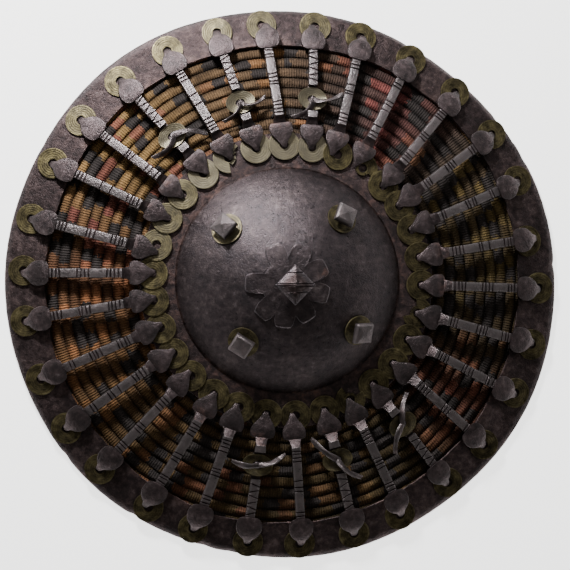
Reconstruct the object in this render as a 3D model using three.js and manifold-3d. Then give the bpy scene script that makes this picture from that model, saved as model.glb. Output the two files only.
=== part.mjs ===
// Buckler shield: a round hand shield of coiled wicker, held between an iron rim and an iron
// centre plate by thirty forged bars, with a riveted iron boss in the middle.
// Millimetres, +Z up. The shield lies on its back with its face up: the underside of the rim is
// z = 0, and the origin is the middle of the rim on that plane. Angles run clockwise from +Y.
import * as THREE from 'three';
import { mergeVertices } from 'three/addons/utils/BufferGeometryUtils.js';
import Module from 'manifold-3d';

const wasm = await Module();
wasm.setup();

// ---- Driving dimensions ----
const GAP = 0.3;                 // clearance between pieces that rest on each other
const SHIELD_R = 190;            // mean outer radius of the rim
const RIM_IN_R = 163.6;          // inner edge of the rim plate
const RIM_LIP_R = 185;           // inside of the rim's turned-down lip
const RIM_SHEET = 2;
const RIM_EDGE_H = 3.7;          // height of the rim's outer edge above the ground
const RIM_WAVES = [              // how far the hammered outline is off a true circle
  { lobes: 2, reach: 1.55, crest: 108 },
  { lobes: 3, reach: 0.75, crest: 94 },
  { lobes: 4, reach: 0.3, crest: 71 },
  { lobes: 7, reach: 0.55, crest: 16 },
];

const COIL_OUT_R = 184.6;        // the wicker ring, from under the rim to under the plate
const COIL_IN_R = 74;
const COIL_ROWS = 15;
const COIL_THICK = 6.5;
const COIL_RELIEF = 1.7;         // depth of the valley between two rows
const DISH_EDGE = { r: 186, z: 3 };
const DISH_CROWN = { r: 100, z: 22 };

const PLATE_R = 100.5;           // iron plate round the boss
const PLATE_IN_R = 70;
const PLATE_SHEET = 1.6;
const BOSS_SHIFT = { x: 0.3, y: 2.7 };   // the middle was riveted a little off the rim's centre

const BOSS_R = 77.7;
const BOSS_RISE = 32;
const BOSS_FLANGE = 2.4;
const BOSS_WALL = 1.8;

const WASHER_R = 10.5;           // brass washers of the outer heads
const WASHER_SHEET = 1.3;
const OUTER_WASHER_AT = 178.2;
const WASHER_SIDES = 8;
const INNER_WASHER_AT = 92.2;
const INNER_HEAD_LIFT = 1.4;     // the inner heads' undersides above the washers
const INNER_WASHER_DEG = [       // a full row round the plate
  10.5, 22, 34, 45.5, 56.5, 68, 80, 92, 104, 116, 128, 140, 152, 164, 176.5,
  189, 201, 213, 225.5, 237.5, 249.5, 261.5, 273, 285, 297, 309, 321.5, 334, 346.5, 358.5,
];

const BAR_COUNT = 30;
const BAR_HALF = 3.2;
const BAR_TIP_OUT_R = 180.2;
const BAR_TIP_IN_R = 90.2;
const BAR_LIFT_OUT = 8.4;        // top of the bar above the coils at its outer end
const BAR_LIFT_IN = 12.2;        // and at its inner end
const BAR_THICK = 4.8;
// Where the smith set each bar's outer and inner head, one entry for each bar.
const OUTER_DEG = [
  6.5, 17.5, 29.5, 42.5, 54.5, 66.5, 79.5, 91, 103.5, 115.5,
  128.5, 140.5, 152.5, 164, 176, 188.5, 200, 212, 225, 237,
  249, 262, 272.5, 284.5, 297.5, 309, 321, 333, 344.5, 355.5,
];
const INNER_DEG = [
  10, 20, 31, 45.5, 55.5, 67.5, 80, 92, 104, 116,
  127.5, 141, 153, 164, 178, 190, 202, 213.5, 227, 239,
  250.5, 262.5, 273, 282.5, 297.5, 308.5, 322.5, 334.5, 346.5, 358,
];

// Six bars are pinned: bar number, and reach and heading of the pin's two spread legs.
const PINS = [
  { bar: 1, legs: [[18.7, 229], [21.4, 80]] },
  { bar: 12, legs: [[21.1, 194], [22.1, 8]] },
  { bar: 14, legs: [[21.2, 127], [23, 308]] },
  { bar: 16, legs: [[18.2, 279], [20.1, 70]] },
  { bar: 27, legs: [[20.3, 223], [23.8, 86]] },
  { bar: 29, legs: [[17.7, 222], [17.3, 75]] },
];
const PIN_R = 125.8;
const PIN_SHANK_R = 1.7;
const PIN_HOLE_R = 2.3;
const PIN_HEAD_R = 5.5;
const PIN_WASHER_R = 10.5;
const PIN_WASHER_HOLE_R = 3.4;
const PIN_WASHER_DISH = 2.4;
const PIN_WASHER_OVAL = 0.7;      // beaten narrower along the bar
const HATCH_END_R = 136;         // where a pinned bar steps down to its eye
const BLOCK_R = 117.6;           // and where it steps up again
const EYE_LIFT = 4.4;            // top of the eye above the coils

const STUDS = [
  { at: 53.5, deg: 39.6, turn: 24 },
  { at: 56.5, deg: 126.5, turn: 2 },
  { at: 52.5, deg: 218, turn: 31 },
  { at: 55, deg: 308.4, turn: 40 },
];
const STUD_HALF = 7;
const STUD_STEM_HALF = 2.1;
const STUD_STEM = 4.4;
const STUD_HEAD = 5.4;

const ROSETTE_R = 30;
const ROSETTE_NOTCH_R = 18;
const ROSETTE_PETALS = 8;
const ROSETTE_SHEET = 1.6;
const ROSETTE_LIFT = 1;          // the flat-cut sheet stands this far off the boss
const ROSETTE_AT = { x: -3.4, y: -0.5 };
const FINIAL_AT = { x: -0.2, y: -0.5 };
const FINIAL_HALF_DIAG = 13.8;

const STRAP_HALF = 11;
const STRAP_TAB_HALF = 8;
const STRAP_THICK = 3;
const STRAP_LOW = 1.6;           // height of the strap's middle above the ground

// ---- Heights of the surfaces that carry the pieces ----
const DISH_BOW = (DISH_CROWN.z - DISH_EDGE.z) / (DISH_EDGE.r ** 2 - DISH_CROWN.r ** 2);
const coilTop = (r) => DISH_CROWN.z + DISH_BOW * (DISH_CROWN.r ** 2 - r ** 2);
const coilUnder = (r) => coilTop(r) - COIL_THICK;
const dishSlope = (r) => Math.atan(2 * DISH_BOW * r);
const rimTop = (r) => coilTop(r) + GAP + RIM_SHEET;
const plateTop = (r) => coilTop(r) + GAP + PLATE_SHEET;

const BOSS_SPHERE_R = ((BOSS_R - BOSS_FLANGE) ** 2 + BOSS_RISE ** 2) / (2 * BOSS_RISE);
const BOSS_FOOT_Z = plateTop(BOSS_R - BOSS_FLANGE) + GAP;
const BOSS_TOP_Z = BOSS_FOOT_Z + BOSS_WALL + BOSS_RISE;
const bossTop = (r) => BOSS_TOP_Z - BOSS_SPHERE_R + Math.sqrt(BOSS_SPHERE_R ** 2 - r ** 2);

// The share of the middle's shift that a point at this radius takes: none under the rim, all of
// it on the plate, and evenly less over the coils between them.
const shiftShare = (r) => THREE.MathUtils.clamp((RIM_IN_R - r) / (RIM_IN_R - PLATE_R), 0, 1);

function place(r, deg, z) {
  const angle = THREE.MathUtils.degToRad(deg);
  const share = shiftShare(r);
  const x = share * BOSS_SHIFT.x + r * Math.sin(angle);
  const y = share * BOSS_SHIFT.y + r * Math.cos(angle);
  return new THREE.Vector3(x, y, z);
}

function rimWave(deg) {
  let wave = 0;
  for (const { lobes, reach, crest } of RIM_WAVES) {
    wave += reach * Math.cos(THREE.MathUtils.degToRad(lobes * (deg - crest)));
  }
  return wave;
}

// ---- Solids ----
function signedVolume(geometry) {
  const p = geometry.attributes.position;
  const index = geometry.index;
  const [a, b, c] = [new THREE.Vector3(), new THREE.Vector3(), new THREE.Vector3()];
  let volume = 0;
  for (let i = 0; i < index.count; i += 3) {
    a.fromBufferAttribute(p, index.getX(i));
    b.fromBufferAttribute(p, index.getX(i + 1));
    c.fromBufferAttribute(p, index.getX(i + 2));
    volume += a.dot(b.cross(c)) / 6;
  }
  return volume;
}

// Welds a closed surface's shared vertices and turns its faces outwards.
function closed(geometry) {
  geometry.deleteAttribute('normal');
  geometry.deleteAttribute('uv');
  const solid = mergeVertices(geometry, 1e-3);
  if (signedVolume(solid) < 0) {
    const corners = Array.from(solid.index.array);
    for (let i = 0; i < corners.length; i += 3) {
      [corners[i + 1], corners[i + 2]] = [corners[i + 2], corners[i + 1]];
    }
    solid.setIndex(corners);
  }
  return solid;
}

function toManifold(solid) {
  const vertProperties = new Float32Array(solid.attributes.position.array);
  const triVerts = new Uint32Array(solid.index.array);
  return new wasm.Manifold(new wasm.Mesh({ numProp: 3, vertProperties, triVerts }));
}

function fromManifold(body) {
  const { vertProperties, triVerts } = body.getMesh();
  const solid = new THREE.BufferGeometry();
  solid.setAttribute('position', new THREE.BufferAttribute(vertProperties, 3));
  solid.setIndex(Array.from(triVerts));
  return solid;
}

const joined = (first, ...others) =>
  fromManifold(others.reduce((body, other) => body.add(toManifold(other)), toManifold(first)));

const cut = (solid, ...tools) =>
  fromManifold(tools.reduce((body, tool) => body.subtract(toManifold(tool)), toManifold(solid)));

// A ring or cap turned about Z from a profile of [radius, height] points.
function turned(profile, segments) {
  const points = profile.map(([r, z]) => new THREE.Vector2(r, z));
  const geometry = new THREE.LatheGeometry(points, segments);
  geometry.rotateX(Math.PI / 2);
  return closed(geometry);
}

// Moves every vertex of a turned solid to where its radius and angle are placed on the shield.
function laidOut(solid, edgeWave = false) {
  const p = solid.attributes.position;
  for (let i = 0; i < p.count; i += 1) {
    const deg = THREE.MathUtils.radToDeg(Math.atan2(p.getX(i), p.getY(i)));
    const r = Math.hypot(p.getX(i), p.getY(i));
    const wave = edgeWave && r > RIM_LIP_R + 1 ? rimWave(deg) : 0;
    const there = place(r + wave, deg, p.getZ(i));
    p.setXYZ(i, there.x, there.y, there.z);
  }
  return solid;
}

// A solid skinned over a row of like sections, each a loop of points. Its two ends are closed
// with flat caps, or joined to each other where the row runs round a ring.
function lofted(sections, ring = false) {
  const count = sections[0].length;
  const indices = [];
  for (let s = 0; s < sections.length - (ring ? 0 : 1); s += 1) {
    const ahead = ((s + 1) % sections.length) * count;
    for (let i = 0; i < count; i += 1) {
      const [a, b] = [s * count + i, s * count + ((i + 1) % count)];
      const [c, d] = [ahead + ((i + 1) % count), ahead + i];
      indices.push(a, b, c, a, c, d);
    }
  }
  const last = (sections.length - 1) * count;
  for (let i = 1; !ring && i + 1 < count; i += 1) {
    indices.push(0, i + 1, i, last, last + i, last + i + 1);
  }
  const geometry = new THREE.BufferGeometry().setFromPoints(sections.flat());
  geometry.setIndex(indices);
  return closed(geometry);
}

function polygonPoints(radius, sides) {
  const points = [];
  for (let i = 0; i < sides; i += 1) {
    const angle = (2 * Math.PI * (i + 0.5)) / sides;
    points.push(new THREE.Vector2(radius * Math.cos(angle), radius * Math.sin(angle)));
  }
  return points;
}

// A flat disc or washer on z = 0, with a hole where holeRadius is given.
function disc(radius, sides, thickness, holeRadius = 0, holeSides = 5) {
  const shape = new THREE.Shape(polygonPoints(radius, sides));
  if (holeRadius > 0) {
    shape.holes.push(new THREE.Path(polygonPoints(holeRadius, holeSides)));
  }
  return closed(new THREE.ExtrudeGeometry(shape, { depth: thickness, bevelEnabled: false }));
}

// Stands a solid made on z = 0 up at a point of the dish, square to a surface that falls outwards.
function seated(solid, point, deg, slope) {
  const tilt = new THREE.Matrix4().makeRotationX(-slope);
  const turn = new THREE.Matrix4().makeRotationZ(-THREE.MathUtils.degToRad(deg));
  const move = new THREE.Matrix4().makeTranslation(point.x, point.y, point.z);
  return solid.clone().applyMatrix4(move.multiply(turn).multiply(tilt));
}

// ---- Rim, wicker, plate and boss ----
function rimSolid() {
  const profile = [
    [SHIELD_R, 0],
    [SHIELD_R, RIM_EDGE_H],
    [SHIELD_R - 8, rimTop(SHIELD_R - 8)],
    [RIM_IN_R, rimTop(RIM_IN_R)],
    [RIM_IN_R, rimTop(RIM_IN_R) - RIM_SHEET],
    [RIM_LIP_R, rimTop(RIM_LIP_R) - RIM_SHEET],
    [RIM_LIP_R, 0],
    [SHIELD_R, 0],
  ];
  return laidOut(turned(profile, 48), true);
}

function wickerSolid() {
  const pitch = (COIL_OUT_R - COIL_IN_R) / COIL_ROWS;
  const top = [];
  for (let row = 0; row < COIL_ROWS; row += 1) {
    const valley = COIL_OUT_R - row * pitch;
    const crest = valley - pitch / 2;
    const shows = crest < RIM_IN_R + pitch / 2 && crest > PLATE_R - pitch / 2;
    if (shows) {
      top.push([valley, coilTop(valley) - COIL_RELIEF]);
      top.push([crest, coilTop(crest)]);
    } else if (row === 0) {
      top.push([valley, coilTop(valley) - COIL_RELIEF]);
    }
  }
  top.push([COIL_IN_R, coilTop(COIL_IN_R) - COIL_RELIEF]);
  const under = [COIL_IN_R, 110, 148, COIL_OUT_R].map((r) => [r, Math.max(coilUnder(r), GAP)]);
  const ring = laidOut(turned([...top, ...under, top[0]], 30));
  return cut(ring, ...PINS.map(({ bar }) => pinHole(bar)));
}

function plateSolid() {
  const radii = [PLATE_R, PLATE_IN_R];
  const top = radii.map((r) => [r, plateTop(r)]);
  const under = radii.map((r) => [r, plateTop(r) - PLATE_SHEET]).reverse();
  return laidOut(turned([...top, ...under, top[0]], 36));
}

// The row of brass washers that lies on the plate under the inner heads, drawn as one ring with
// a scalloped edge. It is a cone, so that every one of its faces is flat.
function innerWashersSolid() {
  const halfPitch = (Math.PI * INNER_WASHER_AT) / INNER_WASHER_DEG.length;
  const fall = Math.tan(dishSlope(INNER_WASHER_AT));
  const foot = plateTop(INNER_WASHER_AT) + GAP;
  const sections = INNER_WASHER_DEG.flatMap((deg) => [-0.95, -0.4, 0.4, 0.95].map((share) => {
    const along = share * halfPitch;
    const across = Math.sqrt(WASHER_R ** 2 - along ** 2);
    const angle = THREE.MathUtils.degToRad(deg) + along / INNER_WASHER_AT;
    const corner = (out, lift) => {
      const r = INNER_WASHER_AT + out;
      const z = foot - out * fall + lift;
      return place(0, 0, z).add(new THREE.Vector3(r * Math.sin(angle), r * Math.cos(angle), 0));
    };
    return [
      corner(across, 0), corner(across, WASHER_SHEET),
      corner(-across, WASHER_SHEET), corner(-across, 0),
    ];
  }));
  return lofted(sections, true);
}

function bossSolid() {
  const dome = (wall, steps) => {
    const points = [];
    for (let i = 0; i <= steps; i += 1) {
      const r = ((BOSS_R - BOSS_FLANGE - wall) * i) / steps;
      points.push([r, bossTop(r) - wall]);
    }
    return points;
  };
  const flange = [[BOSS_R, BOSS_FOOT_Z + BOSS_WALL], [BOSS_R, BOSS_FOOT_Z]];
  return laidOut(turned([...dome(0, 5), ...flange, ...dome(BOSS_WALL, 3).reverse()], 32));
}

// ---- Bars ----
function barLine(bar) {
  const from = place(BAR_TIP_OUT_R, OUTER_DEG[bar - 1], 0);
  const to = place(BAR_TIP_IN_R, INNER_DEG[bar - 1], 0);
  const side = new THREE.Vector3(from.y - to.y, to.x - from.x, 0).normalize();
  const at = (r) => from.clone().lerp(to, (BAR_TIP_OUT_R - r) / (BAR_TIP_OUT_R - BAR_TIP_IN_R));
  return { at, side };
}

function barSection({ at, side }, r, half, low, high) {
  const middle = at(r);
  const corner = (reach, z) => middle.clone().addScaledVector(side, reach).setZ(z);
  return [corner(-half, low), corner(half, low), corner(half, high), corner(-half, high)];
}

// The raised bar climbs evenly from its outer end to its inner end.
function barTop(r) {
  const share = (RIM_IN_R - r) / (RIM_IN_R - 113);
  return coilTop(r) + BAR_LIFT_OUT + share * (BAR_LIFT_IN - BAR_LIFT_OUT);
}

function barSolid(bar) {
  const line = barLine(bar);
  const pinned = PINS.some((pin) => pin.bar === bar);
  const section = (r, half, low, high) => barSection(line, r, half, low, high);
  const raised = (r, half) => section(r, half, barTop(r) - BAR_THICK, barTop(r));
  const eye = (r, half) => section(r, half, coilTop(r) + EYE_LIFT - 2.8, coilTop(r) + EYE_LIFT);
  const seat = (r) => plateTop(r) + GAP + WASHER_SHEET + INNER_HEAD_LIFT;
  const outerHead = [
    section(BAR_TIP_OUT_R, 1.8, rimTop(BAR_TIP_OUT_R) + 0.5, rimTop(BAR_TIP_OUT_R) + 1.9),
    section(176, 3.4, rimTop(176) + 0.5, rimTop(176) + 4.3),
    section(169, 8.6, rimTop(169) + 3.2, rimTop(169) + 6.3),
    section(161.6, 7, rimTop(161.6) + 3.8, rimTop(161.6) + 7),
  ];
  const innerHead = [
    section(107.4, 7.4, seat(107.4) + 0.3, seat(107.4) + 3.4),
    section(102.5, 8.7, seat(102.5) + 0.2, seat(102.5) + 3.1),
    section(94.6, 4.4, seat(94.6), seat(94.6) + 2.5),
    section(BAR_TIP_IN_R, 1.4, seat(BAR_TIP_IN_R), seat(BAR_TIP_IN_R) + 1.3),
  ];
  const eyeStretch = [
    raised(HATCH_END_R, BAR_HALF),
    eye(HATCH_END_R - 0.4, BAR_HALF),
    eye(PIN_R, 5.2),
    eye(BLOCK_R + 0.4, BAR_HALF),
    raised(BLOCK_R, BAR_HALF),
  ];
  const solid = lofted([
    ...outerHead,
    raised(161.2, BAR_HALF),
    ...(pinned ? eyeStretch : []),
    raised(112.6, BAR_HALF + 0.3),
    ...innerHead,
  ]);
  const washerPoint = place(OUTER_WASHER_AT, OUTER_DEG[bar - 1], rimTop(OUTER_WASHER_AT) + GAP);
  const sheet = disc(WASHER_R, WASHER_SIDES, WASHER_SHEET);
  const washer = seated(sheet, washerPoint, OUTER_DEG[bar - 1], dishSlope(OUTER_WASHER_AT));
  const whole = joined(solid, washer);
  return pinned ? cut(whole, pinHole(bar)) : whole;
}

// ---- Split pins and their dished washers ----
function pinPoint(bar, z) {
  return barLine(bar).at(PIN_R).setZ(z);
}

function pinHole(bar) {
  const hole = disc(PIN_HOLE_R, 5, 60);
  const foot = pinPoint(bar, -10);
  return hole.translate(foot.x, foot.y, foot.z);
}

const pinHeadTop = coilUnder(PIN_R) - GAP - STRAP_THICK - 2.4;

function pinSolid({ bar, legs }) {
  const seat = coilTop(PIN_R) + EYE_LIFT + GAP + PIN_WASHER_DISH + WASHER_SHEET + 0.6;
  const shankLow = pinHeadTop - 1;
  const shank = disc(PIN_SHANK_R, 5, seat - shankLow + 1.5);
  const foot = pinPoint(bar, shankLow);
  shank.translate(foot.x, foot.y, foot.z);
  const head = disc(PIN_HEAD_R, 7, 2.2);
  head.translate(foot.x, foot.y, pinHeadTop - 2.2);
  const ribbons = legs.map(([reach, heading]) => {
    const angle = THREE.MathUtils.degToRad(heading);
    const ahead = new THREE.Vector3(Math.sin(angle), Math.cos(angle), 0);
    const side = new THREE.Vector3(-ahead.y, ahead.x, 0);
    const section = (along, half, low, high) => {
      const middle = new THREE.Vector3(foot.x, foot.y, 0).addScaledVector(ahead, along);
      const corner = (out, z) => middle.clone().addScaledVector(side, out).setZ(z);
      return [corner(-half, low), corner(half, low), corner(half, high), corner(-half, high)];
    };
    return lofted([
      section(-1.2, 1.8, seat, seat + 1.7),
      section(reach * 0.45, 1.9, seat + 1.4, seat + 2.9),
      section(reach, 1.3, seat + 0.4, seat + 1.6),
    ]);
  });
  return joined(shank, head, ...ribbons);
}

function pinWasherSolid(bar) {
  const lip = PIN_WASHER_DISH + WASHER_SHEET;
  const profile = [
    [PIN_WASHER_HOLE_R, 0],
    [PIN_WASHER_R, PIN_WASHER_DISH],
    [PIN_WASHER_R, lip],
    [PIN_WASHER_HOLE_R, WASHER_SHEET],
    [PIN_WASHER_HOLE_R, 0],
  ];
  const bowl = turned(profile, 8);
  bowl.scale(1, PIN_WASHER_OVAL, 1);
  const point = pinPoint(bar, coilTop(PIN_R) + EYE_LIFT + GAP);
  return seated(bowl, point, INNER_DEG[bar - 1], dishSlope(PIN_R));
}

// ---- Studs, rosette and finial on the boss ----
function squareLoop(halfDiag, z, turnDeg = 0) {
  const loop = [];
  for (let i = 0; i < 4; i += 1) {
    const angle = THREE.MathUtils.degToRad(turnDeg + 90 * i);
    loop.push(new THREE.Vector3(halfDiag * Math.sin(angle), halfDiag * Math.cos(angle), z));
  }
  return loop;
}

function onBoss(solid, { at, deg }, lift) {
  const point = place(at, deg, bossTop(at) + lift);
  return seated(solid, point, deg, Math.asin(at / BOSS_SPHERE_R));
}

function studSolid(stud) {
  const diag = Math.SQRT2;
  const turn = stud.turn - stud.deg + 45;
  const solid = lofted([
    squareLoop(STUD_STEM_HALF * diag, 0, turn),
    squareLoop(STUD_STEM_HALF * diag, STUD_STEM, turn),
    squareLoop((STUD_HALF - 0.6) * diag, STUD_STEM + 0.4, turn),
    squareLoop(STUD_HALF * diag, STUD_STEM + 1.2, turn),
    squareLoop((STUD_HALF - 0.6) * diag, STUD_STEM + STUD_HEAD - 1, turn),
    squareLoop((STUD_HALF - 2.2) * diag, STUD_STEM + STUD_HEAD, turn),
    squareLoop(0.8, STUD_STEM + STUD_HEAD + 1.2, turn),
  ]);
  return onBoss(solid, stud, GAP);
}

function studWasherSolid(stud) {
  return onBoss(disc(WASHER_R, 12, WASHER_SHEET, STUD_STEM_HALF * 1.8, 6), stud, GAP);
}

// The petals are cut from flat sheet and beaten down over the boss.
function rosetteSolid() {
  const stepsPerPetal = 4;
  const count = ROSETTE_PETALS * stepsPerPetal;
  const outline = (i) => {
    const inPetal = Math.abs(((i % stepsPerPetal) / stepsPerPetal) * 2 - 1);
    return ROSETTE_R - (ROSETTE_R - ROSETTE_NOTCH_R) * inPetal ** 4;
  };
  const surface = (x, y) => bossTop(Math.hypot(x - BOSS_SHIFT.x, y - BOSS_SHIFT.y));
  const loop = (share, lift) => {
    const points = [];
    for (let i = 0; i < count; i += 1) {
      const angle = (2 * Math.PI * i) / count;
      const r = outline(i) * share;
      const x = ROSETTE_AT.x + r * Math.sin(angle);
      const y = ROSETTE_AT.y + r * Math.cos(angle);
      points.push(new THREE.Vector3(x, y, surface(x, y) + lift));
    }
    return points;
  };
  const low = ROSETTE_LIFT;
  const high = ROSETTE_LIFT + ROSETTE_SHEET;
  return lofted([
    loop(0.3, low), loop(1, low), loop(1, high), loop(0.3, high),
  ]);
}

function finialSolid() {
  const foot = bossTop(Math.hypot(FINIAL_AT.x - BOSS_SHIFT.x, FINIAL_AT.y - BOSS_SHIFT.y))
    + ROSETTE_LIFT + ROSETTE_SHEET + GAP;
  const rings = [
    [8, 0], [7, 1.6], [6.4, 5.4], [FINIAL_HALF_DIAG - 1.6, 7.6],
    [FINIAL_HALF_DIAG, 8.6], [FINIAL_HALF_DIAG - 0.4, 11.6], [0.7, 16.2],
  ];
  const solid = lofted(rings.map(([halfDiag, z]) => squareLoop(halfDiag, foot + z)));
  return solid.translate(FINIAL_AT.x, FINIAL_AT.y, 0);
}

// ---- Hand straps: each is held at its two ends by a split pin's head ----
function strapSolid(fromBar, toBar) {
  const from = pinPoint(fromBar, 0);
  const to = pinPoint(toBar, 0);
  const length = from.distanceTo(to);
  const ahead = to.clone().sub(from).normalize();
  const side = new THREE.Vector3(-ahead.y, ahead.x, 0);
  const tabTop = coilUnder(PIN_R) - GAP - 0.9;
  const section = (along, half, top) => {
    const middle = from.clone().addScaledVector(ahead, along);
    const corner = (out, z) => middle.clone().addScaledVector(side, out).setZ(z);
    const low = top - STRAP_THICK;
    return [corner(-half, low), corner(half, low), corner(half, top), corner(-half, top)];
  };
  const middleTop = STRAP_LOW + STRAP_THICK;
  const solid = lofted([
    section(-8, STRAP_TAB_HALF - 2, tabTop - 1.4),
    section(0, STRAP_TAB_HALF, tabTop),
    section(12, STRAP_TAB_HALF + 1, tabTop),
    section(length * 0.25, STRAP_HALF, middleTop + 1.4),
    section(length * 0.5, STRAP_HALF, middleTop),
    section(length * 0.75, STRAP_HALF, middleTop + 1.4),
    section(length - 12, STRAP_TAB_HALF + 1, tabTop),
    section(length, STRAP_TAB_HALF, tabTop),
    section(length + 8, STRAP_TAB_HALF - 2, tabTop - 1.4),
  ]);
  return cut(solid, pinHole(fromBar), pinHole(toBar));
}

// ---- The shield ----
const iron = (color, roughness) =>
  new THREE.MeshStandardMaterial({ color, roughness, metalness: 0.85, flatShading: true });
const darkIron = iron(0x453e41, 0.6);
const wornIron = iron(0x7d777b, 0.45);
const brass = new THREE.MeshStandardMaterial({
  color: 0x84794f, roughness: 0.5, metalness: 0.9, flatShading: true,
});
const cane = new THREE.MeshStandardMaterial({ color: 0x6a4a2c, roughness: 0.9, metalness: 0 });
const leather = new THREE.MeshStandardMaterial({ color: 0x3a2519, roughness: 0.8, metalness: 0 });

const shield = new THREE.Group();

function add(name, geometry, material) {
  const mesh = new THREE.Mesh(geometry, material);
  mesh.name = name;
  shield.add(mesh);
}

const twoDigits = (number) => String(number).padStart(2, '0');

add('rim', rimSolid(), darkIron);
add('wicker_body', wickerSolid(), cane);
add('centre_plate', plateSolid(), darkIron);
add('inner_washers', innerWashersSolid(), brass);
add('boss', bossSolid(), darkIron);
add('rosette', rosetteSolid(), darkIron);
add('finial', finialSolid(), wornIron);
STUDS.forEach((stud, i) => {
  add(`stud_${i + 1}`, studSolid(stud), wornIron);
  add(`stud_washer_${i + 1}`, studWasherSolid(stud), brass);
});
for (let bar = 1; bar <= BAR_COUNT; bar += 1) {
  add(`bar_${twoDigits(bar)}`, barSolid(bar), wornIron);
}
PINS.forEach((pin, i) => {
  add(`split_pin_${i + 1}`, pinSolid(pin), wornIron);
  add(`pin_washer_${i + 1}`, pinWasherSolid(pin.bar), brass);
});
add('hand_strap_1', strapSolid(27, 16), leather);
add('hand_strap_2', strapSolid(1, 12), leather);

export default shield;
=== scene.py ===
import math
import random

import bmesh
import bpy
from mathutils import Matrix, Vector, noise


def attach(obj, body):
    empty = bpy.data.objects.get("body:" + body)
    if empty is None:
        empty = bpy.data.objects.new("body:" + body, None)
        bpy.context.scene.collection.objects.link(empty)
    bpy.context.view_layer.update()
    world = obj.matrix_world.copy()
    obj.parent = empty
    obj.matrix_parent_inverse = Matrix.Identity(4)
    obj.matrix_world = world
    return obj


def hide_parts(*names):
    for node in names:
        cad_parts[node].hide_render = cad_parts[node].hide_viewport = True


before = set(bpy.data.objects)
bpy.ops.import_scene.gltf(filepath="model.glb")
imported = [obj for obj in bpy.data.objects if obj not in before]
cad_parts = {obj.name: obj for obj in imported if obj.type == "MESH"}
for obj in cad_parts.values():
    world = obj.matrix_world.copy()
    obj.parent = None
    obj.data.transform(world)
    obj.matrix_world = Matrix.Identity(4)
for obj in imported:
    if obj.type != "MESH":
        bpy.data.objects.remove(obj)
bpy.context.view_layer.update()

# ---- Camera, lights and floor ----
# The shield lies on its back on a pale floor. The camera looks down on its face from a little
# left of the middle, and a softbox beyond its top left edge lights it across the face.
MM = 0.001
CAMERA_DISTANCE = 1900 * MM
CAMERA_LEAN = math.radians(7)
VIEW_WIDTH = 393.5 * MM
VIEW_MIDDLE = Vector((1.9, -0.5, 0)) * MM
CHIP_WIDTH = 36


def towards(azimuth, elevation):
    """A direction, clockwise from +Y as seen from above, and above the horizon."""
    flat = math.cos(math.radians(elevation))
    turn = math.radians(azimuth)
    return Vector((flat * math.sin(turn), flat * math.cos(turn), math.sin(math.radians(elevation))))


camera_data = bpy.data.cameras.new("camera")
camera_data.sensor_width = CHIP_WIDTH
camera_data.lens = CHIP_WIDTH * CAMERA_DISTANCE / VIEW_WIDTH
camera_data.clip_end = 20
camera = bpy.data.objects.new("camera", camera_data)
camera.location = VIEW_MIDDLE + CAMERA_DISTANCE * Vector((-math.sin(CAMERA_LEAN), 0, math.cos(CAMERA_LEAN)))
camera.rotation_euler = (0, -CAMERA_LEAN, 0)
bpy.context.collection.objects.link(camera)
bpy.context.scene.camera = camera


def softbox(name, azimuth, elevation, distance, size, watts):
    """A square area light that faces the middle of the shield."""
    data = bpy.data.lights.new(name, "AREA")
    data.size = size
    data.energy = watts
    lamp = bpy.data.objects.new(name, data)
    lamp.location = towards(azimuth, elevation) * distance
    lamp.rotation_euler = lamp.location.to_track_quat("Z", "Y").to_euler()
    bpy.context.collection.objects.link(lamp)


softbox("key softbox", azimuth=336, elevation=34, distance=0.88, size=0.13, watts=13)
softbox("fill softbox", azimuth=20, elevation=62, distance=2.2, size=1.4, watts=5)

world = bpy.data.worlds.new("studio")
world.use_nodes = True
world.node_tree.nodes["Background"].inputs["Color"].default_value = (1, 0.94, 0.87, 1)
world.node_tree.nodes["Background"].inputs["Strength"].default_value = 0.1
bpy.context.scene.world = world


def paint(code):
    """The linear colour of an sRGB hex value."""
    channels = [int(code[i:i + 2], 16) / 255 for i in (1, 3, 5)]
    return [c / 12.92 if c <= 0.04045 else ((c + 0.055) / 1.055) ** 2.4 for c in channels] + [1]


def new_material(name):
    """A named material, its node tree and its shader."""
    made = bpy.data.materials.new(name)
    made.use_nodes = True
    return made, made.node_tree, made.node_tree.nodes["Principled BSDF"]


floor_mesh = bmesh.new()
bmesh.ops.create_grid(floor_mesh, x_segments=1, y_segments=1, size=3)
bmesh.ops.translate(floor_mesh, verts=floor_mesh.verts[:], vec=(0, 0, -0.4 * MM))
floor_data = bpy.data.meshes.new("floor")
floor_mesh.to_mesh(floor_data)
floor_mesh.free()
floor = bpy.data.objects.new("floor", floor_data)
bpy.context.collection.objects.link(floor)
floor_paint, _, floor_shader = new_material("matt white studio board")
floor_shader.inputs["Base Color"].default_value = paint("#f7f7f6")
floor_shader.inputs["Roughness"].default_value = 0.9
floor_shader.inputs["Emission Color"].default_value = paint("#f7f7f6")
floor_shader.inputs["Emission Strength"].default_value = 2.5
floor_data.materials.append(floor_paint)

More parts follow.
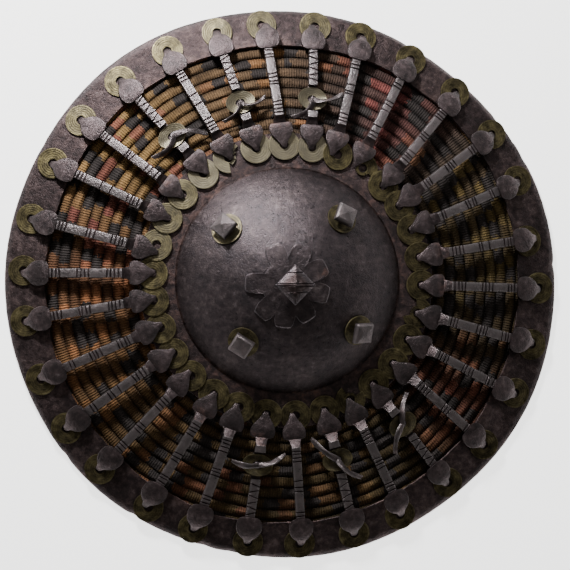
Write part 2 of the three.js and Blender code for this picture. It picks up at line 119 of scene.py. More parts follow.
# ---- Wicker body ----
# One spiral of cane coils, each row wound across with dyed thread and sewn to the row before.
# It is slightly dished, and it carries every iron piece of the shield.
COIL_OUT_R = 184.6
COIL_IN_R = 74
COIL_ROWS = 15
COIL_PITCH = (COIL_OUT_R - COIL_IN_R) / COIL_ROWS
COIL_THICK = 6.5
COIL_RELIEF = 2.1
UNDER_RELIEF = 1.3
COIL_ROUNDNESS = 0.6                     # lower is squarer, with narrower grooves
WICKER_STEPS = 320
DISH_EDGE_R, DISH_EDGE_Z = 186, 3
DISH_CROWN_R, DISH_CROWN_Z = 100, 22
DISH_BOW = (DISH_CROWN_Z - DISH_EDGE_Z) / (DISH_EDGE_R ** 2 - DISH_CROWN_R ** 2)
RIM_IN_R = 163.6
PLATE_R = 100.5
MIDDLE_SHIFT = Vector((0.3, 2.7, 0))     # the boss was riveted a little above the rim's centre
THREAD_PITCH = 1.7                       # laid a little coarser than real, so that it shows
STITCH_RUN = 9.5                         # length of coil that one dyed thread covers


def coil_top(r):
    return DISH_CROWN_Z + DISH_BOW * (DISH_CROWN_R ** 2 - r ** 2)


def place(r, deg, z):
    """A point on the shield; what lies on the centre plate shares the boss's shift."""
    share = min(max((RIM_IN_R - r) / (RIM_IN_R - PLATE_R), 0), 1)
    turn = math.radians(deg)
    return share * MIDDLE_SHIFT + Vector((r * math.sin(turn), r * math.cos(turn), z))


def rough(point, size, seed=0.0):
    """Smooth noise from about -1 to 1 whose bumps are about that many millimetres wide."""
    return noise.noise(point / size + Vector((seed, seed * 1.7, seed * 0.6)))


def spun(profile, steps, whole=True):
    """A ring turned about Z from (radius, height) points, closed round the section if whole."""
    bm = bmesh.new()
    points = [bm.verts.new((0, r, z)) for r, z in profile]
    for a, b in zip(points, points[1:] + points[:1] if whole else points[1:]):
        bm.edges.new((a, b))
    bmesh.ops.spin(bm, geom=bm.verts[:] + bm.edges[:], axis=(0, 0, 1), cent=(0, 0, 0),
                   angle=2 * math.pi, steps=steps, use_merge=True)
    bmesh.ops.remove_doubles(bm, verts=bm.verts[:], dist=0.0005)
    bmesh.ops.recalc_face_normals(bm, faces=bm.faces[:])
    return bm


def polar(point):
    """Radius and angle clockwise from +Y of a point."""
    return math.hypot(point.x, point.y), math.degrees(math.atan2(point.x, point.y)) % 360


def finished(name, bm, material, stands_for=(), crease=35):
    """Makes a millimetre mesh a piece of the object, smooth up to the crease angle."""
    bmesh.ops.scale(bm, vec=(MM, MM, MM), verts=bm.verts[:])
    data = bpy.data.meshes.new(name)
    bm.to_mesh(data)
    bm.free()
    data.shade_smooth()
    data.set_sharp_from_angle(angle=math.radians(crease))
    data.materials.append(material)
    piece = bpy.data.objects.new(name, data)
    bpy.context.collection.objects.link(piece)
    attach(piece, "root")
    if stands_for:
        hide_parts(*stands_for)


def node(tree, kind, *inputs, named=None, output=0, stops=None, **settings):
    """Adds a node with its settings. Its inputs, in order or by name, are given a value or the
    socket that feeds them. Gives back the socket that the node puts out."""
    made = tree.nodes.new("ShaderNode" + kind)
    for name, value in settings.items():
        setattr(made, name, value)
    for name, value in (*enumerate(inputs), *(named or {}).items()):
        if isinstance(value, bpy.types.NodeSocket):
            tree.links.new(value, made.inputs[name])
        else:
            made.inputs[name].default_value = value
    if stops:
        elements = made.color_ramp.elements
        while len(elements) < len(stops):
            elements.new(1)
        for element, (place_on_ramp, code) in zip(elements, stops):
            element.position = place_on_ramp
            element.color = paint(code)
    return made.outputs[output]


def wound_cane_material():
    """Cane wound with linen thread: matt, dusty, with faded ochre, madder and brown dyes, and with
    painted shade darkening it between the threads and in the grooves between the rows.
    """
    material, tree, shader = new_material("cane wound with dyed linen thread")
    where = node(tree, "TexCoord", output="Object")
    round_share = node(tree, "SeparateXYZ", node(tree, "UVMap", uv_map="coil"))
    rows_in = round_share.node.outputs["Y"]
    row = node(tree, "Math", rows_in, operation="FLOOR")
    across = node(tree, "Math", rows_in, operation="FRACT")

    def count_per_turn(length):
        """How many whole lengths fit round this row."""
        first_row = 2 * math.pi * (COIL_OUT_R - COIL_PITCH / 2) / length
        step = 2 * math.pi * COIL_PITCH / length
        count = node(tree, "Math", row, -step, first_row, operation="MULTIPLY_ADD")
        return node(tree, "Math", count, operation="ROUND")

    windings = node(tree, "Math", round_share, count_per_turn(THREAD_PITCH), operation="MULTIPLY")
    in_thread = node(tree, "Math", windings, operation="FRACT")
    arch = node(tree, "Math", in_thread, math.pi, operation="MULTIPLY")
    thread = node(tree, "Math", arch, operation="SINE")
    row_random = node(tree, "TexWhiteNoise", named={"W": row}, noise_dimensions="1D", output="Value")
    stray = node(tree, "TexNoise", named={"Vector": where, "Scale": 1 / (3.2 * MM), "Detail": 3})
    shift = node(tree, "Math", row_random, 7, stray, operation="MULTIPLY_ADD")
    runs = node(tree, "Math", round_share, count_per_turn(STITCH_RUN), shift, operation="MULTIPLY_ADD")
    run_place = node(tree, "CombineXYZ", node(tree, "Math", runs, operation="FLOOR"), row)
    pick = node(tree, "TexWhiteNoise", run_place, noise_dimensions="2D", output="Value")
    shade = pick.node.outputs["Color"]
    main_dye = node(tree, "ValToRGB", round_share, stops=[
        (0.0, "#6a5036"), (0.06, "#55403a"), (0.10, "#6b3a35"), (0.14, "#57463a"), (0.20, "#5d4a26"),
        (0.30, "#4a3a22"), (0.345, "#6b3a25"), (0.40, "#51401f"), (0.52, "#5c4723"), (0.63, "#6b4d22"),
        (0.70, "#7d5322"), (0.76, "#7b4c28"), (0.80, "#8a5f2e"), (0.86, "#a37a33"), (0.93, "#7d5d36"),
        (1.0, "#6a5036"),
    ])
    second_dye = node(tree, "ValToRGB", round_share, stops=[
        (0.0, "#9a6526"), (0.05, "#7a3b2c"), (0.09, "#8e3d39"), (0.16, "#77602a"), (0.27, "#52431f"),
        (0.345, "#7b3a24"), (0.42, "#6a5126"), (0.55, "#6e3d22"), (0.66, "#8a5a20"), (0.74, "#a8611f"),
        (0.79, "#7c3b2c"), (0.86, "#8d4a31"), (0.93, "#8a5a31"), (1.0, "#9a6526"),
    ])
    colour = main_dye
    for rarer_than, dye in ((0.58, second_dye), (0.78, paint("#38312f"))):
        chosen = node(tree, "Math", pick, rarer_than, operation="GREATER_THAN")
        colour = node(tree, "Mix", named={"Factor": chosen, "A": colour, "B": dye}, data_type="RGBA",
                      output="Result")
    fuzz = node(tree, "TexNoise", named={"Vector": where, "Scale": 1 / (1.1 * MM), "Detail": 3})
    grime = node(tree, "TexNoise", named={"Vector": where, "Scale": 1 / (13 * MM), "Detail": 4})
    # ridge paints shade: the colour darkens towards the groove between two rows.
    ridge = node(tree, "Math", node(tree, "Math", across, math.pi, operation="MULTIPLY"), operation="SINE")
    red = node(tree, "SeparateColor", shade, output="Red")
    level = node(tree, "Math", red, 0.45, 0.5, operation="MULTIPLY_ADD")
    # thread paints shade between the threads and ridge paints shade in the grooves between rows; fuzz and
    # grime are loose fibre and dirt.
    for part, gain, least in ((thread, 0.34, 0.62), (fuzz, 2, 0.25), (grime, 1.7, 0.1), (ridge, 0.6, 0.4)):
        share = node(tree, "Math", part, gain, least, operation="MULTIPLY_ADD")
        level = node(tree, "Math", level, share, operation="MULTIPLY")
    dusty_with_painted_shade = node(tree, "HueSaturation", named={"Color": colour, "Value": level, "Saturation": 0.86})
    tree.links.new(dusty_with_painted_shade, shader.inputs["Base Color"])
    loose = node(tree, "Math", fuzz, 0.6, operation="MULTIPLY")
    relief = node(tree, "Math", thread, 0.7, loose, operation="MULTIPLY_ADD")
    bump = node(tree, "Bump", named={"Height": relief, "Distance": 0.7 * MM, "Strength": 0.9})
    tree.links.new(bump, shader.inputs["Normal"])
    shader.inputs["Roughness"].default_value = 0.85
    shader.inputs["Specular IOR Level"].default_value = 0.25
    return material


def wicker_mesh():
    top = []
    for row in range(COIL_ROWS):
        shown = RIM_IN_R + 4 > COIL_OUT_R - (row + 0.5) * COIL_PITCH > PLATE_R - 4
        for share in ((i / 9 for i in range(9)) if shown else (0, 0.5)):
            r = COIL_OUT_R - (row + share) * COIL_PITCH
            dip = COIL_RELIEF * (1 - math.sin(math.pi * share) ** COIL_ROUNDNESS)
            top.append((r, coil_top(r) - dip))
    under = []
    for row in reversed(range(COIL_ROWS)):
        for share in (1, 0.8, 0.5, 0.2):
            r = COIL_OUT_R - (row + share) * COIL_PITCH
            bulge = UNDER_RELIEF * (1 - math.sin(math.pi * share) ** COIL_ROUNDNESS)
            under.append((r, max(coil_top(r) - COIL_THICK + bulge, 0.3)))
    bm = spun(top + [(COIL_IN_R, coil_top(COIL_IN_R) - COIL_RELIEF)] + under, WICKER_STEPS)
    uv_layer = bm.loops.layers.uv.new("coil")
    for face in bm.faces:
        turns = [polar(loop.vert.co)[1] / 360 for loop in face.loops]
        over_seam = max(turns) - min(turns) > 0.5
        rows = [(COIL_OUT_R - polar(loop.vert.co)[0]) / COIL_PITCH for loop in face.loops]
        middle_row = math.floor(sum(rows) / len(rows) + 1e-6)
        for loop, turn, row in zip(face.loops, turns, rows):
            inside = min(max(row, middle_row + 0.001), middle_row + 0.999)
            loop[uv_layer].uv = (turn + 1 if over_seam and turn < 0.5 else turn, inside)
    for vert in bm.verts:
        r, deg = polar(vert.co)
        row = (COIL_OUT_R - r) / COIL_PITCH
        along = Vector((math.sin(math.radians(deg)) * 150, math.cos(math.radians(deg)) * 150, row * 40))
        lump = 0.7 * rough(along, 9) + 0.6 * rough(along, 34, 3)
        wander = 0.7 * rough(Vector((along.x, along.y, 0)), 30, 5) + 0.35 * rough(along, 22, 8)
        vert.co = place(r + wander, deg, max(vert.co.z + lump, 0.2))
    return bm


finished("coiled_wicker_body", wicker_mesh(), wound_cane_material(), ["wicker_body"])

# ---- Rim ----
# A ring of hammered iron sheet over the wicker's edge, with its outer edge turned down to the
# back. Its outline is uneven and nicked, and the sheet is browned, pitted and rusty at its edges.
RIM_R = 189.75
RIM_LIP_R = 185
RIM_SHEET = 2
RIM_STEPS = 432
RIM_WAVES = ((2, 1.55, 108), (3, 0.75, 94), (4, 0.3, 71), (7, 0.55, 16))   # lobes, reach, crest
RIM_NICKS = ((28, 0.5, 1.1), (53, 0.7, 1.4), (58, 0.4, 0.8), (62.5, 0.6, 1.2), (86, 0.9, 0.9),
             (191, 0.6, 1.5), (197, 0.5, 0.9), (213, 1.1, 1.0), (232, 0.8, 1.2), (300, 0.3, 1))
GAP = 0.3


def rim_top(r):
    return coil_top(r) + GAP + RIM_SHEET


def iron_material(name, patina, worn, polish, dull, rusty):
    """Forged iron browned by age: a dark, faintly violet oxide skin with fine pits, rust that
    creeps out of corners, and bare metal rubbed bright where hands and cloth reach it. polish is
    how far the rubbing shows, dull adds to the roughness, and rusty adds rust all over."""
    material, tree, shader = new_material(name)
    where = node(tree, "TexCoord", output="Object")
    cloud = node(tree, "TexNoise", named={"Vector": where, "Scale": 1 / (26 * MM), "Detail": 5,
                                          "Roughness": 0.6})
    mottle = node(tree, "TexNoise", named={"Vector": where, "Scale": 1 / (4.5 * MM), "Detail": 6,
                                           "Roughness": 0.68})
    pits = node(tree, "TexNoise", named={"Vector": where, "Scale": 1 / (1.3 * MM), "Detail": 4,
                                         "Roughness": 0.7})
    wear = node(tree, "Attribute", attribute_name="wear", output="Fac")
    rust = node(tree, "Attribute", attribute_name="rust", output="Fac")

    clouded = node(tree, "Math", cloud, 0.4, operation="MULTIPLY")
    tone = node(tree, "Math", mottle, 0.6, clouded, operation="MULTIPLY_ADD")
    skin = node(tree, "ValToRGB", tone, stops=patina)
    flecks = node(tree, "Math", mottle, 2.4, -1.45, operation="MULTIPLY_ADD", use_clamp=True)
    bare = node(tree, "Math", wear, flecks, operation="ADD", use_clamp=True)
    rubbed = node(tree, "Math", bare, polish, operation="MULTIPLY")
    bared = node(tree, "Mix", named={"Factor": rubbed, "A": skin, "B": paint(worn)}, data_type="RGBA",
                 output="Result")
    spots = node(tree, "Math", mottle, 5.5, -2.5, operation="MULTIPLY_ADD", use_clamp=True)
    patches = node(tree, "Math", cloud, 2.2, -0.75, operation="MULTIPLY_ADD", use_clamp=True)
    creep = node(tree, "Math", spots, patches, operation="MULTIPLY")
    damp = node(tree, "Math", rust, rusty, operation="ADD", use_clamp=True)
    rusted = node(tree, "Math", creep, damp, operation="MULTIPLY")
    colour = node(tree, "Mix", named={"Factor": rusted, "A": bared, "B": paint("#6b4330")},
                  data_type="RGBA", output="Result")
    tree.links.new(colour, shader.inputs["Base Color"])
    metal = node(tree, "Math", rusted, -0.6, 0.82, operation="MULTIPLY_ADD")
    tree.links.new(metal, shader.inputs["Metallic"])
    dulled = node(tree, "Math", mottle, 0.3, dull, operation="MULTIPLY_ADD", use_clamp=True)
    pitted = node(tree, "Math", pits, 0.5, dulled, operation="MULTIPLY_ADD")
    gloss = node(tree, "Math", rubbed, -0.1, pitted, operation="MULTIPLY_ADD")
    tree.links.new(gloss, shader.inputs["Roughness"])
    hammered = node(tree, "Math", mottle, 0.45, operation="MULTIPLY")
    grain = node(tree, "Math", pits, 0.55, hammered, operation="MULTIPLY_ADD")
    bump = node(tree, "Bump", named={"Height": grain, "Distance": 0.8 * MM, "Strength": 0.9})
    tree.links.new(bump, shader.inputs["Normal"])
    return material


browned_iron = iron_material(
    "browned sheet iron", [(0.36, "#1b1615"), (0.46, "#302525"), (0.55, "#443838"), (0.66, "#605455")],
    worn="#7d777a", polish=0.55, dull=0.08, rusty=0.2)


def rim_outline(deg):
    """How far the rim's outer edge stands off a true circle."""
    wave = sum(reach * math.cos(math.radians(lobes * (deg - crest))) for lobes, reach, crest in RIM_WAVES)
    for at, depth, width in RIM_NICKS:
        off = (deg - at + 180) % 360 - 180
        wave -= depth * math.exp(-(off / width) ** 2)
    return wave


def rim_mesh():
    top = [(r, rim_top(r)) for r in (186.5, 184.5, 182, 179, 176, 173, 170, 167, 165, RIM_IN_R + 0.5)]
    profile = [
        (RIM_R - 0.5, 0), (RIM_R, 0.5), (RIM_R, 2.6), (RIM_R - 0.4, 3.3), (RIM_R - 1.4, 3.9), *top,
        (RIM_IN_R, rim_top(RIM_IN_R) - 0.5), (RIM_IN_R, rim_top(RIM_IN_R) - RIM_SHEET),
        (174, rim_top(174) - RIM_SHEET), (RIM_LIP_R, rim_top(RIM_LIP_R) - RIM_SHEET), (RIM_LIP_R, 0),
    ]
    bm = spun(profile, RIM_STEPS)
    wear = bm.verts.layers.float.new("wear")
    rust = bm.verts.layers.float.new("rust")
    for vert in bm.verts:
        r, deg = polar(vert.co)
        edge = min(max((r - 183) / 6, 0), 1)
        inner = min(max((169 - r) / 5, 0), 1)
        flat = place(170, deg, 0)
        reach = r + edge * (rim_outline(deg) + 0.2 * rough(flat, 4, 2) - 0.2)
        reach += inner * (1.1 * rough(flat, 26, 4) + 0.35 * rough(flat, 7, 6))
        beaten = 0.28 * rough(vert.co, 17, 1) + 0.1 * rough(vert.co, 6, 9)
        lifted = vert.co.z + (beaten if vert.co.z > 3 else 0)
        vert[wear] = 0.35 * edge if r > 187 else 0.1
        vert[rust] = max(0.35 * inner, 0.25 if r > 188.8 else 0)
        vert.co = Vector((reach * math.sin(math.radians(deg)), reach * math.cos(math.radians(deg)), lifted))
    return bm


finished("hammered_iron_rim", rim_mesh(), browned_iron, ["rim"])

# ---- Centre plate ----
# A ring of sheet iron round the boss, over the wicker's inner rows. The inner washers and the
# inner heads of the bars lie on it.
PLATE_IN_R = 70
PLATE_SHEET = 1.6
PLATE_STEPS = 288


def plate_top(r):
    return coil_top(r) + GAP + PLATE_SHEET


def plate_mesh():
    top = [(r, plate_top(r)) for r in (PLATE_R - 0.4, 97, 93, 89, 86, 83, 80.5, 78.5, 76, 73, PLATE_IN_R)]
    under = [(r, plate_top(r) - PLATE_SHEET) for r in (PLATE_IN_R, 85, PLATE_R)]
    bm = spun(top + under + [(PLATE_R, plate_top(PLATE_R) - 0.4)], PLATE_STEPS)
    wear = bm.verts.layers.float.new("wear")
    rust = bm.verts.layers.float.new("rust")
    for vert in bm.verts:
        r, deg = polar(vert.co)
        vert[wear] = 0.15
        vert[rust] = 0.5 * math.exp(-((r - 79) / 3) ** 2) + 0.2
        vert.co = place(r, deg, vert.co.z + 0.12 * rough(vert.co, 14, 2))
    return bm


finished("iron_centre_plate", plate_mesh(), browned_iron, ["centre_plate"])

# ---- Boss ----
# A bowl of sheet iron raised by hammering, riveted down by its four studs. Light hammer marks
# show all over, and a rusty line runs round where its edge meets the plate.
BOSS_R = 77.7
BOSS_RISE = 32
BOSS_FLANGE = 2.4
BOSS_WALL = 1.8
BOSS_STEPS = 192
BOSS_SPHERE_R = ((BOSS_R - BOSS_FLANGE) ** 2 + BOSS_RISE ** 2) / (2 * BOSS_RISE)
BOSS_FOOT_Z = plate_top(BOSS_R - BOSS_FLANGE) + GAP
BOSS_TOP_Z = BOSS_FOOT_Z + BOSS_WALL + BOSS_RISE


def boss_top(r):
    return BOSS_TOP_Z - BOSS_SPHERE_R + math.sqrt(BOSS_SPHERE_R ** 2 - r ** 2)


def boss_mesh():
    reach = BOSS_R - BOSS_FLANGE
    outside = [(reach * i / 30, boss_top(reach * i / 30)) for i in range(31)]
    edge = [(BOSS_R - 1.5, BOSS_FOOT_Z + 0.9), (BOSS_R - 0.8, BOSS_FOOT_Z + 0.1),
            (BOSS_R - 0.9, BOSS_FOOT_Z - 0.2)]
    hollow = reach - BOSS_WALL
    inside = [(hollow * i / 12, boss_top(hollow * i / 12) - BOSS_WALL) for i in range(13)]
    bm = spun(outside + edge + inside[::-1], BOSS_STEPS, whole=False)
    bmesh.ops.dissolve_degenerate(bm, dist=0.0005, edges=bm.edges[:])
    wear = bm.verts.layers.float.new("wear")
    rust = bm.verts.layers.float.new("rust")
    for vert in bm.verts:
        r, deg = polar(vert.co)
        out = vert.normal.z > -0.1 and r > 0
        marks = 0.16 * rough(vert.co, 9, 4) + 0.22 * rough(vert.co, 23, 7) + 0.05 * rough(vert.co, 3.5, 5)
        vert[wear] = 0 if r > BOSS_R - 2 else 0.3 - 0.15 * r / BOSS_R
        vert[rust] = 0.75 if r > BOSS_R - 2.2 else (0.02 if out else 0.5)
        vert.co = place(r, deg, vert.co.z + (marks if r < BOSS_R - 3 else 0))
    return bm


hammered_iron = iron_material(
    "hammered boss iron", [(0.36, "#1d1817"), (0.46, "#302625"), (0.55, "#423737"), (0.66, "#5d5452")],
    worn="#8f8a92", polish=0.6, dull=-0.03, rusty=0.08)
finished("hammered_iron_boss", boss_mesh(), hammered_iron, ["boss"])

# ---- Outer washers ----
# Brass discs with turned rings, one under the outer head of each bar, which the head's nib pins
# down. They were cut and dished by hand, so none is quite flat or quite in line with its bar.
WASHER_R = 10.5
WASHER_HOLE_R = 3
WASHER_SHEET = 1.3
OUTER_WASHER_AT = 178.2
OUTER_DEG = [                            # where the smith set each bar's outer head
    6.5, 17.5, 29.5, 42.5, 54.5, 66.5, 79.5, 91, 103.5, 115.5,
    128.5, 140.5, 152.5, 164, 176, 188.5, 200, 212, 225, 237,
    249, 262, 272.5, 284.5, 297.5, 309, 321, 333, 344.5, 355.5,
]
WASHER_SIDES = 40
SLIPPED_WASHER, SLIPPED_BY = 6, 6        # this one has slipped in under its head
TURNED_RING = 0.75                       # from one turned ring of a washer to the next


def aged_brass_material():
    """Turned sheet brass gone olive and brown in the hollows, rubbed pale along its edges, and
    lightened by a painted highlight where the pale attribute is set.
    """
    material, tree, shader = new_material("aged turned brass")
    where = node(tree, "TexCoord", output="Object")
    flat = node(tree, "UVMap", uv_map="flat")
    out = node(tree, "VectorMath", flat, operation="LENGTH", output="Value")
    ring = node(tree, "Math", out, WASHER_R / TURNED_RING, operation="MULTIPLY")
    ridge = node(tree, "Math", ring, 1, operation="PINGPONG")
    mottle = node(tree, "TexNoise", named={"Vector": where, "Scale": 1 / (5 * MM), "Detail": 5,
                                           "Roughness": 0.65})
    grit = node(tree, "TexNoise", named={"Vector": where, "Scale": 1 / (0.9 * MM), "Detail": 3})
    wear = node(tree, "Attribute", attribute_name="wear", output="Fac")
    pale = node(tree, "Attribute", attribute_name="pale", output="Fac")

    stain = node(tree, "Math", mottle, 0.8, operation="MULTIPLY")
    turned = node(tree, "Math", ridge, 0.06, stain, operation="MULTIPLY_ADD")
    specks = node(tree, "Math", grit, 0.2, -0.1, operation="MULTIPLY_ADD", use_clamp=True)
    rubbed = node(tree, "Math", wear, 0.18, specks, operation="MULTIPLY_ADD")
    tone = node(tree, "Math", turned, rubbed, operation="ADD")
    skin = node(tree, "ValToRGB", tone, stops=[
        (0.34, "#2c281b"), (0.46, "#4a4330"), (0.6, "#6b6244"), (0.78, "#918765")])
    # The pale attribute is a painted highlight: it mixes the washers at the top left, where the key softbox
    # shines, towards a light colour.
    painted_highlight_share = node(tree, "Math", pale, 0.7, operation="MULTIPLY")
    colour = node(tree, "Mix", named={"Factor": painted_highlight_share, "A": skin, "B": paint("#978f7c")},
                  data_type="RGBA", output="Result")
    tree.links.new(colour, shader.inputs["Base Color"])
    shader.inputs["Metallic"].default_value = 0.85
    gloss = node(tree, "Math", grit, 0.3, 0.3, operation="MULTIPLY_ADD")
    tree.links.new(gloss, shader.inputs["Roughness"])
    gritty = node(tree, "Math", grit, 0.6, operation="MULTIPLY")
    height = node(tree, "Math", ridge, 0.22, gritty, operation="MULTIPLY_ADD")
    bump = node(tree, "Bump", named={"Height": height, "Distance": 0.35 * MM, "Strength": 0.8})
    tree.links.new(bump, shader.inputs["Normal"])
    return material


def seat_on(point, deg, slope):
    """Stands what was made flat on Z = 0 square to the dish at a point, its +Y outwards."""
    return (Matrix.Translation(point) @ Matrix.Rotation(-math.radians(deg), 4, "Z")
            @ Matrix.Rotation(-slope, 4, "X"))


def dish_slope(r):
    return math.atan(2 * DISH_BOW * r)


def washer_mesh(seed, pale=0.0, hole=WASHER_HOLE_R, lost=None, dent=0.35, cone=0.0):
    """A washer flat on Z = 0. pale is how much painted highlight it gets, and lost is the stretch
    of angles whose outer part has broken away.
    """
    radii = [hole, hole + 0.5, 5, 6.4, 7.8, 9, WASHER_R - 0.5, WASHER_R]
    bm = spun([(r, 0) for r in radii], WASHER_SIDES, whole=False)
    if lost:
        torn = []
        for face in bm.faces:
            r, deg = polar(face.calc_center_median())
            kept = 4.6 + 2.8 * rough(Vector((deg / 14, seed, 0)), 1)
            if (deg - lost[0]) % 360 < (lost[1] - lost[0]) % 360 and r > kept:
                torn.append(face)
        bmesh.ops.delete(bm, geom=torn, context="FACES")
    for vert in bm.verts:
        r, _ = polar(vert.co)
        vert.co.z = cone * r / WASHER_R + dent * rough(vert.co, 9, seed * 3.1)
        vert.co.x *= 1 + 0.03 * math.sin(seed)
    bmesh.ops.solidify(bm, geom=bm.faces[:], thickness=WASHER_SHEET)
    bmesh.ops.recalc_face_normals(bm, faces=bm.faces[:])
    bmesh.ops.translate(bm, verts=bm.verts[:], vec=(0, 0, -min(v.co.z for v in bm.verts)))
    # The pale layer carries a painted highlight, given per washer.
    wear, paleness = bm.verts.layers.float.new("wear"), bm.verts.layers.float.new("pale")
    uv_layer = bm.loops.layers.uv.new("flat")
    for vert in bm.verts:
        vert[wear] = 1 if math.hypot(vert.co.x, vert.co.y) > WASHER_R - 0.3 else 0.3
        vert[paleness] = pale
    for face in bm.faces:
        for loop in face.loops:
            loop[uv_layer].uv = loop.vert.co.xy / WASHER_R
    return bm


aged_brass = aged_brass_material()
for bar, deg in enumerate(OUTER_DEG):
    chance = random.Random(bar + 40)
    # Washers from 300° round to 10°, at the top left under the key softbox, get a painted highlight.
    bm = washer_mesh(bar + 1, pale=chance.uniform(0.05, 0.3) if deg > 300 or deg < 10 else 0.0)
    at = OUTER_WASHER_AT - (SLIPPED_BY if bar == SLIPPED_WASHER else 0)
    spot = place(at, deg + chance.uniform(-0.6, 0.6), rim_top(at) + GAP)
    lean = dish_slope(at) + chance.uniform(-0.03, 0.03)
    bmesh.ops.transform(bm, matrix=seat_on(spot, deg, lean), verts=bm.verts[:])
    finished(f"outer_washer_{bar + 1:02d}", bm, aged_brass)

# ---- Inner washers ----
# Brass discs lapped like scales round the centre plate, held by the inner heads. A few of them
# are broken, with jagged scraps left under the heads.
INNER_WASHER_AT = 92.2
INNER_WASHER_DEG = [
    10.5, 22, 34, 45.5, 56.5, 68, 80, 92, 104, 116, 128, 140, 152, 164, 176.5,
    189, 201, 213, 225.5, 237.5, 249.5, 261.5, 273, 285, 297, 309, 321.5, 334, 346.5, 358.5,
]
TORN_WASHERS = {0: (300, 20), 2: (100, 300), 8: (150, 250), 12: (170, 260), 27: (60, 200)}
LAP_TILT = 0.055                         # each is tipped this far, to lie over the next

inner_washers = bmesh.new()
for number, deg in enumerate(INNER_WASHER_DEG):
    # pale is a painted highlight: strong on the washers at the top left under the key softbox, weaker
    # further left, none elsewhere.
    pale = 0.7 if deg > 318 or deg < 15 else (0.25 if deg > 280 else 0.0)
    bm = washer_mesh(number + 61, pale=pale, lost=TORN_WASHERS.get(number), dent=0.2)
    tip = Matrix.Rotation(LAP_TILT, 4, "Y")
    spot = place(INNER_WASHER_AT, deg, plate_top(INNER_WASHER_AT) + GAP + 0.5)
    seat = seat_on(spot, deg, dish_slope(INNER_WASHER_AT)) @ tip
    bmesh.ops.transform(bm, matrix=seat, verts=bm.verts[:])
    scrap = bpy.data.meshes.new("washer")
    bm.to_mesh(scrap)
    bm.free()
    inner_washers.from_mesh(scrap)
    bpy.data.meshes.remove(scrap)
finished("lapped_inner_washers", inner_washers, aged_brass, ["inner_washers"])

# ---- Bars ----
# Thirty iron bars forged in one with a flat head at each end, whose nib is bent down through a
# washer. Cuts cross them in threes; the six pinned bars are cut like a leaf and step down to an
# eye for their pin.
BAR_HALF = 3.15
BAR_TIP_OUT_R = 180.2
BAR_TIP_IN_R = 90.2
BAR_LIFT_OUT = 8.4
BAR_LIFT_IN = 12.2
BAR_THICK = 4.8
BAR_SHOULDER_R = 113.2                   # where a bar drops to its inner head
INNER_DEG = [                            # and where he set its inner head
    10, 20, 31, 45.5, 55.5, 67.5, 80, 92, 104, 116,
    127.5, 141, 153, 164, 178, 190, 202, 213.5, 227, 239,
    250.5, 262.5, 273, 282.5, 297.5, 308.5, 322.5, 334.5, 346.5, 358,
]
PINNED = (0, 11, 13, 15, 26, 28)
EYE_LIFT = 4.4
PIN_R = 125.8
CUT_HALF, CUT_DEEP = 0.6, 0.6
LEAF_FROM_R, LEAF_TO_R = 159.3, 138      # the cuts of a pinned bar lean to and fro
LEAF_PITCH, LEAF_LEAN = 3.9, 0.9
CUTS = (159.6, 157.1, 154.7, 142.7, 140.2, 137.8, 135.4, 123, 120.4, 117.9, 115.4)
# Radius, half width, underside and top of the head's sections, above the rim.
OUTER_HEAD = (
    (180.2, 1.3, 0.2, 1.3), (179.4, 2.0, 0.3, 2.4), (178.2, 2.5, 0.7, 3.7), (176.8, 3.1, 1.6, 4.7),
    (175.4, 5.0, 2.3, 5.4), (173.4, 7.0, 2.8, 5.9), (171.0, 8.2, 3.1, 6.3), (168.6, 8.6, 3.3, 6.6),
    (166.2, 8.6, 3.6, 6.85), (164.2, 8.0, 3.8, 7.0), (162.8, 7.0, 4.0, 7.05), (161.9, 5.6, 4.2, 7.0),
)
# The same above the centre plate's washers.
INNER_HEAD = (
    (108.0, 4.5, 0.2, 3.5), (107.7, 6.6, 0.2, 3.1), (107.0, 7.7, 0.2, 3.3), (105.2, 8.3, 0.2, 3.3),
    (103.0, 8.4, 0.2, 3.2), (100.6, 7.6, 0.2, 3.1), (98.2, 6.1, 0.1, 2.8), (96.0, 4.4, 0, 2.5),
    (94.0, 3.0, 0, 2.2), (92.2, 2.2, 0, 1.8), (90.4, 1.4, -0.4, 1.1),
)


def bar_top(r):
    share = (RIM_IN_R - r) / (RIM_IN_R - 113)
    return coil_top(r) + BAR_LIFT_OUT + share * (BAR_LIFT_IN - BAR_LIFT_OUT)


def head_seat(r):
    return coil_top(r) + 2 * GAP + PLATE_SHEET + WASHER_SHEET + 1.4


def bar_line(bar):
    """A bar's middle line as a function of radius, and the direction to its right."""
    start, end = place(BAR_TIP_OUT_R, OUTER_DEG[bar], 0), place(BAR_TIP_IN_R, INNER_DEG[bar], 0)
    side = Vector((start.y - end.y, end.x - start.x, 0)).normalized()
    return (lambda r: start.lerp(end, (BAR_TIP_OUT_R - r) / (BAR_TIP_OUT_R - BAR_TIP_IN_R))), side


def forged_section(half, low, high, crown=0.3, wear=1.0):
    """A bar's section, its top corners rubbed round, as (across, height, wear) all the way round."""
    cut = min(0.5, 0.22 * half, 0.3 * (high - low))
    right = [(half - cut, low, 0), (half, low + cut, 0.1), (half, high - cut, 0.55 * wear),
             (half - 0.6 * cut, high - 0.15 * cut, wear), (half * 0.5, high + 0.8 * crown, 0.62 * wear)]
    left = [(-across, height, rubbed) for across, height, rubbed in reversed(right)]
    return [*right, (0, high + crown, 0.6 * wear), *left]


